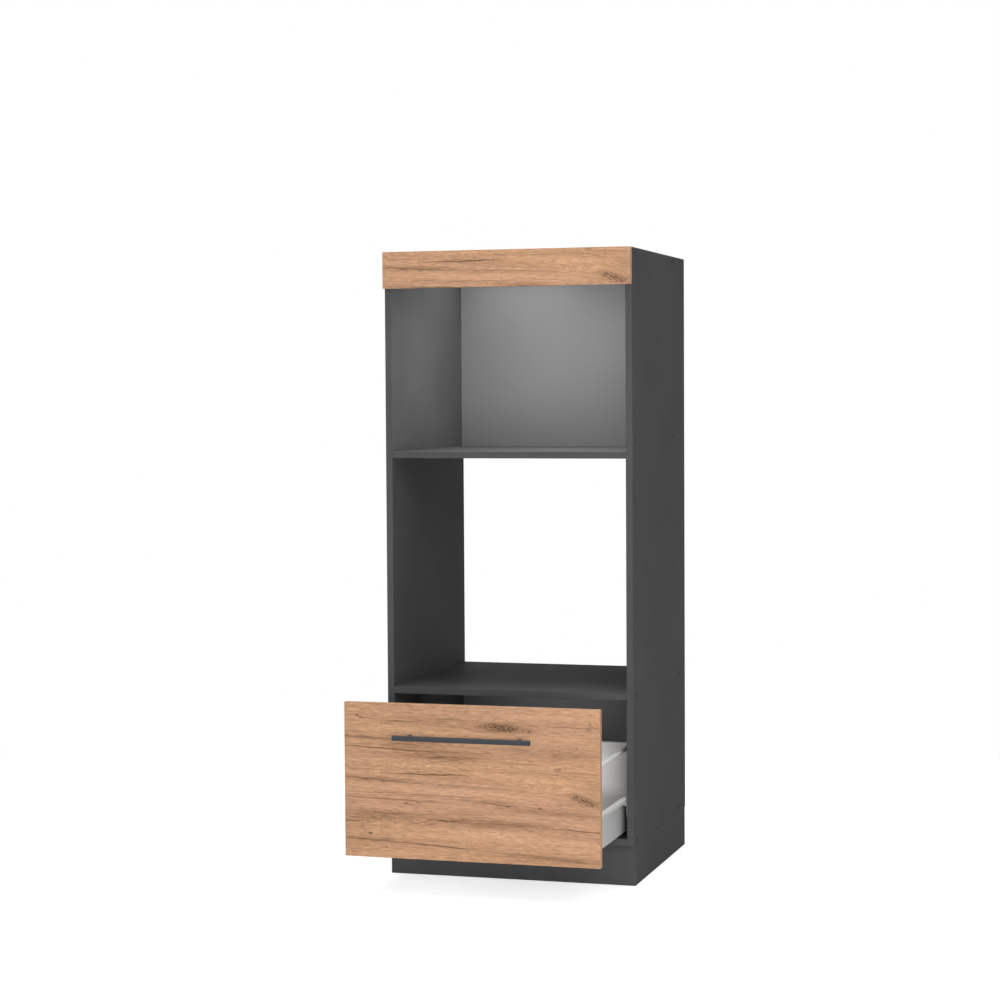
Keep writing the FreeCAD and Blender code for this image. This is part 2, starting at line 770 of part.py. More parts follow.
# Front brackets join the steel sides to the drawer front
plate_low = side_foot + d.front_bracket_rise
plate_high = plate_low + d.front_bracket_height
leg_inner = wall_inner - d.front_bracket_steel
plate_rear = front_face_rear + d.front_bracket_steel
plate_edge = wall_inner - d.front_bracket_plate
leg_end = front_face_rear + d.front_bracket_leg
front_bracket = padded(
    "front_bracket_sheet",
    "XY_Plane",
    [
        (plate_edge, front_face_rear),
        (wall_inner, front_face_rear),
        (wall_inner, leg_end),
        (leg_inner, leg_end),
        (leg_inner, plate_rear),
        (plate_edge, plate_rear),
    ],
    d.front_bracket_height,
)
place(front_bracket, (0, 0, plate_low))
rivet_length = d.front_bracket_steel + d.steel
rivet = turned(
    "rivet",
    [
        (0, 0),
        (d.rivet_head, 0),
        (d.rivet_head, d.rivet_head_height),
        (d.rivet_radius, d.rivet_head_height),
        (d.rivet_radius, d.rivet_head_height + rivet_length),
        (d.rivet_head, d.rivet_head_height + rivet_length),
        (d.rivet_head, d.rivet_head_height * 2 + rivet_length),
        (0, d.rivet_head_height * 2 + rivet_length),
    ],
)
front_bracket_screws = []
rivets = []
bracket_holes = []
plate_line = (plate_edge + leg_inner) / 2
rivet_line = (plate_rear + leg_end) / 2
for z in (plate_low + d.front_bracket_hole_at, plate_high - d.front_bracket_hole_at):
    for side in LEFT_AND_RIGHT.values():
        face = (side * plate_line, front_face_rear, z)
        small_screw_at(front_bracket_screws, "drawer_front", face, FORWARD, d.front_bracket_steel)
        rivets.append(((side * (leg_inner - d.rivet_head_height), rivet_line, z), (side, 0, 0)))
    plate_hole = (plate_line, front_face_rear, z)
    leg_hole = (leg_inner, rivet_line, z)
    rivet_hole = d.rivet_radius + d.hole_gap
    bracket_holes.append(
        cylinder("plate_hole", plate_hole, REARWARD, d.screw_shank + d.hole_gap, d.front_bracket_steel)
    )
    bracket_holes.append(cylinder("leg_hole", leg_hole, RIGHTWARD, rivet_hole, d.front_bracket_steel))
    side_holes.append(cylinder("wall_hole", (wall_inner, rivet_line, z), RIGHTWARD, rivet_hole, d.steel))
right_and_left("front_bracket", cut("front_bracket_right", front_bracket, bracket_holes))
copies("front_bracket_screws", small_screw, front_bracket_screws)
copies("front_bracket_rivets", rivet, rivets)

# Gallery rails between sockets on the drawer front and the drawer back
rail_x = wall_inner - d.rail_inset
rail_z = side_foot + d.rail_rise
rail_start = front_face_rear + d.socket_floor
rail_length = drawer_back_front - d.socket_floor - rail_start
rail = turned("gallery_rail", [(0, 0), (d.rail_radius, 0), (d.rail_radius, rail_length), (0, rail_length)])
place(rail, (rail_x, rail_start, rail_z), axis_turn(REARWARD))
right_and_left("gallery_rail", rail)
socket_radius = d.rail_radius + d.hole_gap + d.socket_wall
rail_socket = turned(
    "rail_socket",
    [
        (0, 0),
        (d.socket_stem_radius, 0),
        (d.socket_stem_radius, d.socket_stem_length),
        (socket_radius, d.socket_stem_length),
        (socket_radius, d.socket_stem_length + d.socket_length),
        (d.rail_radius + d.hole_gap, d.socket_stem_length + d.socket_length),
        (d.rail_radius + d.hole_gap, d.socket_stem_length + d.socket_floor),
        (0, d.socket_stem_length + d.socket_floor),
    ],
)
sockets = []
for side in LEFT_AND_RIGHT.values():
    for name, y, direction in (
        ("drawer_front", front_face_rear, REARWARD),
        ("drawer_back", drawer_back_front, FORWARD),
    ):
        seat = (side * rail_x, y, rail_z)
        into = tuple(-step for step in direction)
        sockets.append((moved(seat, into, d.socket_stem_length), direction))
        drill(name, seat, into, d.socket_stem_radius + d.hole_gap, d.socket_stem_length + d.hole_end_gap)
copies("rail_sockets", rail_socket, sockets)

# Bumpers on the back of the drawer front, facing the side panels' front edges
bumper = turned(
    "bumper",
    [(0, 0), (d.bumper_radius, 0), (d.bumper_radius - d.edge_round, d.bumper_height), (0, d.bumper_height)],
)
bumpers = []
for side in LEFT_AND_RIGHT.values():
    for z in (front_low + d.bumper_inset, front_high - d.bumper_inset):
        bumpers.append(((side * (inner + d.board / 2), front_face_rear, z), REARWARD))
copies("front_bumpers", bumper, bumpers)

# Bar handle on two posts, screwed from inside the drawer front
bar_y = front_face - d.handle_reach
bar_z = front_high - d.handle_drop
bar = turned(
    "handle_bar",
    [
        (0, 0),
        (d.handle_radius - d.handle_chamfer, 0),
        (d.handle_radius, d.handle_chamfer),
        (d.handle_radius, d.handle_length - d.handle_chamfer),
        (d.handle_radius - d.handle_chamfer, d.handle_length),
        (0, d.handle_length),
    ],
)
place(bar, (d.handle_offset - d.handle_length / 2, bar_y, bar_z), axis_turn(RIGHTWARD))
node(bar, "handle_bar")
saddle_reach = d.handle_post_radius + d.handle_radius
handle_post = cut(
    "handle_post",
    cylinder("post_round", (0, 0, 0), UPWARD, d.handle_post_radius, d.handle_reach),
    [
        cylinder(
            "post_saddle",
            (-saddle_reach, 0, d.handle_reach),
            RIGHTWARD,
            d.handle_radius + d.handle_saddle_gap,
            saddle_reach * 2,
        ),
        cylinder(
            "post_thread",
            (0, 0, 0),
            UPWARD,
            d.handle_screw_radius + d.hole_gap,
            d.handle_screw_bite + d.hole_end_gap,
        ),
    ],
)
handle_screw_length = d.facing + d.handle_screw_bite
handle_screw = turned(
    "handle_screw",
    [
        (0, d.screw_recess_depth),
        (d.screw_recess, 0),
        (d.handle_screw_head, 0),
        (d.handle_screw_head, d.handle_screw_head_height),
        (d.handle_screw_radius, d.handle_screw_head_height),
        (d.handle_screw_radius, d.handle_screw_head_height + handle_screw_length),
        (0, d.handle_screw_head_height + handle_screw_length),
    ],
)
posts = []
handle_screws = []
for side in LEFT_AND_RIGHT.values():
    x = d.handle_offset + side * d.handle_posts_apart / 2
    posts.append(((x, front_face, bar_z), FORWARD))
    handle_screws.append(((x, front_face_rear + d.handle_screw_head_height, bar_z), FORWARD))
    drill("drawer_front", (x, front_face_rear, bar_z), FORWARD, d.handle_screw_radius + d.hole_gap, d.facing)
copies("handle_posts", handle_post, posts)
copies("handle_screws", handle_screw, handle_screws)

# Rollers: the front pair carries the top flanges, the rear pair runs in the runners' channels
roller_middle = (wall_outer + lip_inner) / 2
roller_inner = roller_middle - d.roller_width / 2
roller_outer = roller_middle + d.roller_width / 2
front_roller_y = front + d.front_roller_inset
front_roller_z = side_top - d.steel - d.roller_gap - d.front_roller_radius
channel_floor = front_roller_z - d.channel_drop
channel_roof = channel_floor + d.roller_gap + d.rear_roller_radius * 2 + d.channel_play
rear_roller_y = drawer_rear - d.rear_roller_inset
rear_roller_z = channel_floor + d.roller_gap + d.rear_roller_radius


def roller(name, radius, y, z):
    """A nylon roller with a bore that runs on its axle."""
    bore = d.axle_radius + d.axle_clearance
    body = turned(
        name,
        [
            (bore, 0),
            (radius - d.roller_chamfer, 0),
            (radius, d.roller_chamfer),
            (radius, d.roller_width - d.roller_chamfer),
            (radius - d.roller_chamfer, d.roller_width),
            (bore, d.roller_width),
        ],
    )
    place(body, (roller_inner, y, z), axis_turn(RIGHTWARD))
    right_and_left(name, body)


roller("front_roller", d.front_roller_radius, front_roller_y, front_roller_z)
roller("rear_roller", d.rear_roller_radius, rear_roller_y, rear_roller_z)


def axle(name, plate, shoulder):
    """A headed axle: a tail in its plate, a collar, the running length and the head."""
    running = plate + shoulder - d.roller_play
    head = running + d.roller_width + d.roller_play * 2
    return turned(
        name,
        [
            (0, 0),
            (d.axle_radius, 0),
            (d.axle_radius, plate),
            (d.axle_collar, plate),
            (d.axle_collar, running),
            (d.axle_radius, running),
            (d.axle_radius, head),
            (d.axle_head, head),
            (d.axle_head, head + d.axle_head_height),
            (0, head + d.axle_head_height),
        ],
    )


web_inner = inner - d.steel
front_axle = axle("front_axle", d.steel, web_inner - roller_outer)
rear_axle = axle("rear_axle", d.steel, roller_inner - wall_outer)
front_axles = []
rear_axles = []
for side in LEFT_AND_RIGHT.values():
    front_axles.append(((side * inner, front_roller_y, front_roller_z), (-side, 0, 0)))
    rear_axles.append(((side * wall_inner, rear_roller_y, rear_roller_z), (side, 0, 0)))
copies("front_roller_axles", front_axle, front_axles)
copies("rear_roller_axles", rear_axle, rear_axles)
axle_hole = d.axle_radius + d.hole_gap
side_holes.append(
    cylinder("rear_axle_hole", (wall_inner, rear_roller_y, rear_roller_z), RIGHTWARD, axle_hole, d.steel)
)
drawer_side = cut("drawer_side_right", fused("drawer_side_bent", [side_sheet, side_tab]), side_holes)
right_and_left("drawer_side", drawer_side)

# Runners: a web on the side panel, with a channel behind the front roller and a stop near its front end
runner_front = front + d.runner_inset
channel_edge = wall_outer + d.runner_lip_gap
runner_low = channel_floor - d.steel
channel_top = channel_roof + d.steel
runner_sheet = padded(
    "runner_sheet",
    "XZ_Plane",
    [
        (channel_edge, runner_low),
        (inner, runner_low),
        (inner, front_roller_z + d.runner_headroom),
        (web_inner, front_roller_z + d.runner_headroom),
        (web_inner, channel_top),
        (channel_edge, channel_top),
        (channel_edge, channel_roof),
        (web_inner, channel_roof),
        (web_inner, channel_floor),
        (channel_edge, channel_floor),
    ],
    d.runner_length,
)
place(runner_sheet, (0, runner_front, 0))
stop_rear = rear_roller_y - (d.full_opening - d.rest_opening) - d.rear_roller_radius - d.roller_gap
runner_stop = block(
    "runner_stop",
    (roller_inner, stop_rear - d.steel, runner_low),
    (roller_outer, stop_rear, channel_floor + d.stop_height),
)
runner_screws = []
runner_holes = [
    block(
        "runner_nose",
        (channel_edge, runner_front, runner_low),
        (web_inner, front + d.channel_start, channel_top),
    ),
    cylinder("front_axle_hole", (web_inner, front_roller_y, front_roller_z), RIGHTWARD, axle_hole, d.steel),
]
channel_middle = (channel_floor + channel_roof) / 2
runner_rear = runner_front + d.runner_length
runner_rows = (
    runner_front + d.runner_screw_end,
    (runner_front + runner_rear) / 2,
    runner_rear - d.runner_screw_end,
)
for y in runner_rows:
    for word, side in LEFT_AND_RIGHT.items():
        face = (side * inner, y, channel_middle)
        small_screw_at(runner_screws, f"side_panel_{word}", face, (side, 0, 0), d.steel)
    hole = (web_inner, y, channel_middle)
    runner_holes.append(cylinder("runner_hole", hole, RIGHTWARD, d.screw_shank + d.hole_gap, d.steel))
runner = cut("runner_right", fused("runner_bent", [runner_sheet, runner_stop]), runner_holes)
right_and_left("runner", runner)
copies("runner_screws", small_screw, runner_screws)

# Boards with all their holes
for name, blank in blanks.items():
    node(cut(name, blank, holes[name]) if holes[name] else blank, name)

# Check every object, then write each sub-part
document.recompute()
faults = [item.Name for item in document.Objects if {"Invalid", "Error"} & set(item.State)]
for item in nodes:
    if item.Shape.isNull() or not item.Shape.isValid() or not item.Shape.Solids:
        faults.append(item.Label)
if faults:
    raise RuntimeError("failed objects: " + ", ".join(faults))
os.makedirs("parts", exist_ok=True)
for item in nodes:
    item.Shape.exportStep(os.path.join("parts", f"{item.Label}.step"))
    box = item.Shape.BoundBox
    print(
        f"{item.Label}: {len(item.Shape.Solids)} solids,",
        f"x {box.XMin:.1f} to {box.XMax:.1f}, y {box.YMin:.1f} to {box.YMax:.1f},",
        f"z {box.ZMin:.1f} to {box.ZMax:.1f}",
    )
print(len(nodes), "sub-parts")
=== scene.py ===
# %% [markdown]
# An oven housing cabinet, finished in Blender.
# The boards, fittings and drawer arrive as solid shapes that already have their true sizes and
# places. This lesson leaves them exactly where they are. It adds what makes them look real: a
# camera, a small photo studio, and one finish after another. Everything is in metres: x to the
# right, y to the rear, z up.

# %% Load the cabinet
import math

import bpy
from mathutils import Color, Matrix, Vector


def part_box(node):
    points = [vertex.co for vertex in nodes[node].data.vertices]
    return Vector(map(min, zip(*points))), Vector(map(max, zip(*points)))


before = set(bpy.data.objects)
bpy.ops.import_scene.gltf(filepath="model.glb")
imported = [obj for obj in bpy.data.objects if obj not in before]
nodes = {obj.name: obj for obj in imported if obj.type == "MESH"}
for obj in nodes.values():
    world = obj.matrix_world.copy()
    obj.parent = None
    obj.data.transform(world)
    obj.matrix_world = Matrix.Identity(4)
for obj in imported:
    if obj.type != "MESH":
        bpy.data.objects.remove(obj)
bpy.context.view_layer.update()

# %% [markdown]
# Shader nodes can be wired by hand, but long formulas turn into a maze that way. Here a small
# class wraps a socket, so that a formula in Python adds its own Math nodes. Sums of colours are
# left to the Mix node, because a Math node would turn a colour grey. Every other kind of node
# comes from the one method called node.

# %% Shader maths in Python
class Signal:
    """One socket of a node tree, with Python's operators for values."""

    def __init__(self, tree, socket=None):
        self.tree = tree
        self.socket = socket

    def node(self, kind, settings=None, sockets=None, output=0):
        """Adds any node: first its settings, then values or links for its sockets."""
        made = self.tree.nodes.new(f"ShaderNode{kind}")
        for name, value in (settings or {}).items():
            setattr(made, name, value)
        for name, value in (sockets or {}).items():
            if isinstance(value, Signal):
                self.tree.links.new(value.socket, made.inputs[name])
            else:
                made.inputs[name].default_value = value
        return Signal(self.tree, made.outputs[output] if made.outputs else None)

    def math(self, operation, left, right=0.0):
        return self.node("Math", {"operation": operation}, {0: left, 1: right})

    def __add__(self, other):
        return self.math("ADD", self, other)

    def __radd__(self, other):
        return self.math("ADD", other, self)

    def __sub__(self, other):
        return self.math("SUBTRACT", self, other)

    def __rsub__(self, other):
        return self.math("SUBTRACT", other, self)

    def __mul__(self, other):
        return self.math("MULTIPLY", self, other)

    def __rmul__(self, other):
        return self.math("MULTIPLY", other, self)

    def __truediv__(self, other):
        return self.math("DIVIDE", self, other)

    def __rtruediv__(self, other):
        return self.math("DIVIDE", other, self)

    def __pow__(self, other):
        return self.math("POWER", self, other)

    def __rpow__(self, other):
        return self.math("POWER", other, self)

    def __or__(self, other):
        return self.math("MAXIMUM", self, other)

    def __ror__(self, other):
        return self.math("MAXIMUM", other, self)

    def __abs__(self):
        return self.math("ABSOLUTE", self)

    def between(self, low, high, top=1.0):
        """Rises smoothly from 0 at low to the top value at high, or falls where high is smaller."""
        sockets = {"Value": self, "From Min": low, "From Max": high, "To Max": top}
        return self.node("MapRange", {"interpolation_type": "SMOOTHSTEP"}, sockets)

    def mix(self, first, second):
        """Goes from the first colour to the second as this value goes from 0 to 1."""
        settings = {"data_type": "RGBA", "clamp_factor": True}
        return self.node("Mix", settings, {0: self, 6: first, 7: second}, 2)


print("a signal offers", ", ".join(name for name in vars(Signal) if not name.startswith("_")))

# %% [markdown]
# Colours are easiest to judge as the 0 to 255 values that a screen shows. A shader reckons in
# amounts of light, and a mid grey on the screen is only about a fifth of full light. So every
# colour of the lesson is written in screen values and turned into light on the way.

# %% Colours
SCREEN_FULL = 255
OPAQUE = 1.0


def ink(red, green, blue):
    """A colour given by its screen values, as light."""
    colour = Color((red, green, blue)) / SCREEN_FULL
    return (*colour.from_srgb_to_scene_linear(), OPAQUE)


WHITE = ink(255, 255, 255)
print("a mid grey as light:", round(ink(128, 128, 128)[0], 3))

# %% [markdown]
# The camera stands where the photographer's stood. Its place and its angles were found by
# matching the cabinet's corners to the picture. The lens is long, because the sides of the
# cabinet hardly lean towards each other. No lens shift is used, so that the cabinet also stays
# in the middle when somebody walks round it.

# %% Camera
CAMERA_PLACE = Vector((1.5820, -5.3556, 1.1428))
CAMERA_YAW = math.radians(16.714)
CAMERA_PITCH = math.radians(-2.531)
CAMERA_ROLL = math.radians(-0.335)
CAMERA_LENS = 85.75
LEVEL = math.radians(90)

camera_data = bpy.data.cameras.new("camera")
camera_data.lens = CAMERA_LENS
camera = bpy.data.objects.new("camera", camera_data)
camera.matrix_world = (
    Matrix.Translation(CAMERA_PLACE)
    @ Matrix.Rotation(CAMERA_YAW, 4, "Z")
    @ Matrix.Rotation(LEVEL + CAMERA_PITCH, 4, "X")
    @ Matrix.Rotation(CAMERA_ROLL, 4, "Z")
)
scene = bpy.context.scene
scene.collection.objects.link(camera)
scene.camera = camera
scene.view_settings.view_transform = "Standard"
print("camera", round(CAMERA_PLACE.length, 2), "m from the origin, lens", CAMERA_LENS, "mm")

# %% [markdown]
# A studio picture on white needs a white surround that doesn't flood the object with light. The
# world therefore has two faces. To the camera, and in a mirror or behind glass, it is plain
# white. As light it is only a dim, even glow. The Light Path node tells the two apart.

# %% World
WORLD_GLOW = 0.25
PLAIN_WHITE = 1.0
SEEN_RAYS = ("Camera", "Glossy", "Transmission")


def seen_directly(paint):
    """1 for rays that show a surface, also in a mirror or through glass, and 0 for light."""
    rays = [paint.node("LightPath", output=f"Is {kind} Ray") for kind in SEEN_RAYS]
    return rays[0] | rays[1] | rays[2]


world = bpy.data.worlds.new("studio")
world.use_nodes = True
world.node_tree.nodes.clear()
sky = Signal(world.node_tree)
glow = sky.node("Background", sockets={"Color": WHITE, "Strength": WORLD_GLOW})
white = sky.node("Background", sockets={"Color": WHITE, "Strength": PLAIN_WHITE})
surround = sky.node("MixShader", sockets={0: seen_directly(sky), 1: glow, 2: white})
sky.node("OutputWorld", sockets={"Surface": surround})
scene.world = world
print("world glow", WORLD_GLOW)

# %% [markdown] The floor is a plain pale disc. A disc looks the same from every side, which a
# square sheet wouldn't.

# %% Floor
FLOOR_RADIUS = 9.0
FLOOR_SIDES = 96

turns = [math.tau * step / FLOOR_SIDES for step in range(FLOOR_SIDES)]
rim = [(FLOOR_RADIUS * math.cos(turn), FLOOR_RADIUS * math.sin(turn), 0) for turn in turns]
floor_mesh = bpy.data.meshes.new("floor")
floor_mesh.from_pydata(rim, [], [range(FLOOR_SIDES)])
floor = bpy.data.objects.new("floor", floor_mesh)
scene.collection.objects.link(floor)
print("floor", FLOOR_RADIUS * 2, "m across")

# %% [markdown]
# Near the cabinet the floor is an ordinary matt surface, so it catches the shadow, with a glow
# of its own that lifts it towards white. Further out it melts into the white surround, and no
# horizon line crosses the picture. Only rays that show the floor see that glow: the light that
# it throws back at the cabinet is that of plain matt paint.

# %% Floor finish
FLOOR_COLOUR = ink(244, 244, 244)
FLOOR_LIFT = 0.64
FADE_START = 1.0
FADE_END = 2.6


def begin(name):
    """A new material, with the signal that its nodes grow from."""
    material = bpy.data.materials.new(name)
    material.use_nodes = True
    material.node_tree.nodes.clear()
    return material, Signal(material.node_tree)


def place_on(paint):
    """The place on the piece, in metres."""
    return paint.node("TexCoord", output="Object")


floor_material, paint = begin("pale_floor")
matt = paint.node("BsdfDiffuse", sockets={"Color": FLOOR_COLOUR})
lift = paint.node("Emission", sockets={"Color": WHITE, "Strength": FLOOR_LIFT})
far = paint.node("Emission", sockets={"Color": WHITE, "Strength": PLAIN_WHITE})
near = paint.node("AddShader", sockets={0: matt, 1: lift})
distance = paint.node("VectorMath", {"operation": "LENGTH"}, {0: place_on(paint)}, "Value")
fade = distance.between(FADE_START, FADE_END)
shown = paint.node("MixShader", sockets={0: fade, 1: near, 2: far})
surface = paint.node("MixShader", sockets={0: seen_directly(paint), 1: matt, 2: shown})
paint.node("OutputMaterial", sockets={"Surface": surface})
floor_mesh.materials.append(floor_material)
print("floor fades from", FADE_START, "to", FADE_END, "m")

# %% [markdown]
# Soft boxes light the cabinet: large panels whose shadows have no hard edge. The key stands high
# in front on the right and the fill low beside it, so the fronts are brighter than the long
# side, and shadows stay faint. A top panel picks out what lies flat. Two more keep the left side
# and the rear readable. Three small panels hide under the top board and under the oven shelf,
# the way a shop lights a niche. The camera can't see any of the panels.

# %% Lamps
LAMPS = {
    # place, target, width and height in metres, and power in watts
    "key": ((2.15, -3.4, 3.1), (0.0, -0.1, 0.75), 2.0, 2.0, 52.0),
    "fill": ((2.3, -4.6, 0.5), (0.0, -0.1, 0.7), 1.8, 0.9, 95.0),
    "top": ((-0.1, -0.4, 4.3), (0.0, -0.1, 0.3), 1.6, 1.6, 76.0),
    "left": ((-3.6, -2.2, 1.6), (-0.3, 0.2, 0.75), 1.8, 1.8, 19.0),
    "rear": ((-1.2, 3.8, 0.45), (0.0, 0.5, 0.6), 1.8, 0.3, 32.0),
    "niche_front": ((0.12, 0.12, 1.435), (0.02, 0.22, 1.0), 0.25, 0.2, 3.5),
    "niche_rear": ((-0.12, 0.36, 1.455), (-0.12, 0.3601, 1.0), 0.25, 0.22, 0.5),
    "bay": ((0.06, 0.17, 0.425), (0.06, 0.52, 0.36), 0.44, 0.02, 0.34),
}


def soft_box(name, place, target, width, height, watts):
    """A flat area lamp that faces its target."""
    light = bpy.data.lights.new(name, "AREA")
    light.shape = "RECTANGLE"
    light.size = width
    light.size_y = height
    light.energy = watts
    lamp = bpy.data.objects.new(name, light)
    lamp.location = place
    aim = Vector(target) - Vector(place)
    lamp.rotation_euler = aim.to_track_quat("-Z", "Y").to_euler()
    lamp.visible_camera = False
    scene.collection.objects.link(lamp)
    print("lamp", name, watts, "W")


for name, setting in LAMPS.items():
    soft_box(name, *setting)

# %% [markdown]
# Most finishes share three habits. Their patterns are measured in metres on the piece itself, so
# a pattern moves with the drawer. Their noise has so many patches per metre, evenly or along
# each axis. And they end in the same shader, with a colour, a roughness and a very shallow
# relief. What stays the same all over a piece, such as the sheen, is set on the shader itself.

# %% Helpers for finishes
MM = 0.001
SHEEN = "Specular IOR Level"
AXES = "XYZ"


def parts_of(vector):
    """A vector's three values."""
    return [vector.node("SeparateXYZ", sockets={0: vector}, output=axis) for axis in AXES]


def joined(x, y, z):
    """A vector from three values, of which at least one is a signal."""
    signal = next(value for value in (x, y, z) if isinstance(value, Signal))
    return signal.node("CombineXYZ", sockets={"X": x, "Y": y, "Z": z})


def facing(paint):
    """The x, y and z of the direction that the surface faces."""
    return parts_of(paint.node("NewGeometry", output="Normal"))


def cloud(spot, per_metre, detail=2.0, roughness=0.5):
    """Soft noise from 0 to 1 with so many patches per metre, evenly or along x, y and z."""
    scales = per_metre if isinstance(per_metre, tuple) else (per_metre,) * len(AXES)
    stretched = spot.node("VectorMath", {"operation": "MULTIPLY"}, {0: spot, 1: scales})
    sockets = {"Vector": stretched, "Scale": 1.0, "Detail": detail, "Roughness": roughness}
    return spot.node("TexNoise", sockets=sockets)


def coat(paint, colour, roughness, relief, depth, fixed=None):
    """Ends a finish: colour, roughness and relief, and fixed values on the shader's sockets."""
    bump = paint.node("Bump", sockets={"Strength": 1.0, "Distance": depth, "Height": relief})
    varied = {"Base Color": colour, "Roughness": roughness, "Normal": bump}
    shader = paint.node("BsdfPrincipled", sockets={**varied, **(fixed or {})})
    paint.node("OutputMaterial", sockets={"Surface": shader})


def dress(material, names):
    """Puts a finish on pieces of the cabinet."""
    for name in names:
        nodes[name].material_slots[0].material = material
    print(material.name, "on", len(names), "pieces")


print("helpers ready, with", MM, "m to a millimetre")

# %% [markdown]
# The carcass is chipboard in a graphite laminate. The press plate leaves a fine pearl relief on
# such a laminate, and the paper under it is faintly cloudy. A flat grey would look like plastic,
# so the tone drifts by a few percent, and the roughness follows the pearl. The gloss is low: the
# laminate is sold as matt.

# %% Graphite board
GRAPHITE = [
    "side_panel_left", "side_panel_right", "bottom_panel", "oven_shelf", "upper_shelf",
    "top_panel", "plinth_front", "plinth_side_left", "plinth_side_right", "plinth_rear",
]

material, paint = begin("graphite_board")
spot = place_on(paint)
drift = cloud(spot, per_metre=5, detail=3.0)
pearl = cloud(spot, per_metre=420, detail=1.0)
speck = cloud(spot, per_metre=1400, detail=0.0)
tone = 0.5 * drift.between(0.25, 0.75) + 0.3 * pearl + 0.2 * speck
colour = tone.mix(ink(78, 78, 79), ink(88, 88, 89))
roughness = 0.58 + 0.14 * pearl
coat(paint, colour, roughness, relief=pearl, depth=0.06 * MM, fixed={SHEEN: 0.006})
dress(material, GRAPHITE)

# %% [markdown]
# The two fronts carry an oak decor: a printed sheet with lively grain, a few cracks and knots.
# Both boards show the same part of the sheet around their middle, as boards cut from one press
# load do, so one material serves both. It starts with the sheet's own directions: u runs along
# the grain and v across it, counted from a board's middle. The sheet folds over the long edges,
# and on the short ends a strip of it stands upright.

# %% Oak sheet directions
FRONT_ROOM = 0.1
END_START = 0.6
END_FULL = 0.8


def oak_sheet(paint):
    """The directions along and across the grain, in metres from the middle of either front."""
    drawer_low, drawer_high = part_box("drawer_front")
    fascia_low, fascia_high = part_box("top_fascia")
    x, y, z = parts_of(place_on(paint))
    is_fascia = z.between(drawer_high.z + FRONT_ROOM, fascia_low.z - FRONT_ROOM)
    drawer_middle = (drawer_low.z + drawer_high.z) / 2
    fascia_middle = (fascia_low.z + fascia_high.z) / 2
    middle = drawer_middle + is_fascia * (fascia_middle - drawer_middle)
    face = drawer_low.y + is_fascia * (fascia_low.y - drawer_low.y)
    is_end = abs(facing(paint)[0]).between(END_START, END_FULL)
    folded = z - middle + (y - face)
    u = x + is_end * (z - x)
    v = folded + is_end * (y - folded)
    return u, v


print("a short end counts as such once its normal lies", END_FULL, "along x")

# %% [markdown]
# Many marks of the sheet are long spots: knots, fields, cracks. One function gives them all. It
# tells how far a point lies from a spot's middle, with 1 on the rim. Two dot products turn the
# sheet into the spot's own directions, which keeps the shader short although there are about a
# hundred spots.

# %% Spots of the sheet
def spread(u, v):
    """The sheet as u and v in millimetres and a 1, which a dot product turns into any rule."""
    return joined(u / MM, v / MM, 1.0)


def ellipse(sheet, place):
    """How far a point lies from a spot's middle, 1 on the rim, and how far across its length."""
    middle_u, middle_v, half_length, half_height, lean = place
    rules = [
        (1 / half_length, 0.0, -middle_u / half_length),
        (-lean / half_height, 1 / half_height, (lean * middle_u - middle_v) / half_height),
    ]
    dot = {"operation": "DOT_PRODUCT"}
    along, across = [sheet.node("VectorMath", dot, {0: sheet, 1: rule}, "Value") for rule in rules]
    offset = joined(along, across, 0.0)
    reach = sheet.node("VectorMath", {"operation": "LENGTH"}, {0: offset}, "Value")
    return reach, across


def strongest(signals):
    """The largest of several masks, folded in one by one, so that a shader never holds many."""
    signals = iter(signals)
    total = next(signals)
    for signal in signals:
        total = total | signal
    return total


print("spots are placed in millimetres of", MM, "m")

# %% [markdown]
# Grain lines don't run dead straight. They drift across the board, and they part around a knot
# like water around a stone. Both are done by bending v before any pattern is drawn. A knot pushes
# the lines away on either side, and the push fades with distance. The third value of a joined
# vector only picks a layer of the noise, so that two patterns don't repeat each other.

# %% Knots and the flow of the grain
KNOTS = {
    # middle along and across the grain, half length and half height in millimetres, and the lean
    "upper_paw": (72, 128, 52, 12, -0.06),
    "right_paw": (262, -27, 42, 11, -0.30),
    "lower_eye": (-55, -85, 60, 7, 0.04),
}
GRAIN_CLIMB = 0.030
SLOW_SWING = 22 * MM
RIPPLE_SWING = 5 * MM
KNOT_REACH = 2.6
KNOT_PUSH = 0.8


def grain_flow(u, v):
    """v bent by the slow drift of the grain and by the knots."""
    slow = cloud(joined(u, v, 0.3), per_metre=(1.5, 6.0, 1.0))
    ripple = cloud(joined(u, v, 2.1), per_metre=(9.0, 40.0, 1.0))
    flow = v + GRAIN_CLIMB * u + SLOW_SWING * (slow - 0.5) + RIPPLE_SWING * (ripple - 0.5)
    sheet = spread(u, v)
    for place in KNOTS.values():
        reach, across = ellipse(sheet, place)
        half_height = place[3] * MM
        flow = flow - across * reach.between(KNOT_REACH, 0.0, KNOT_PUSH * half_height)
    return flow


print("grain parts around", ", ".join(KNOTS))
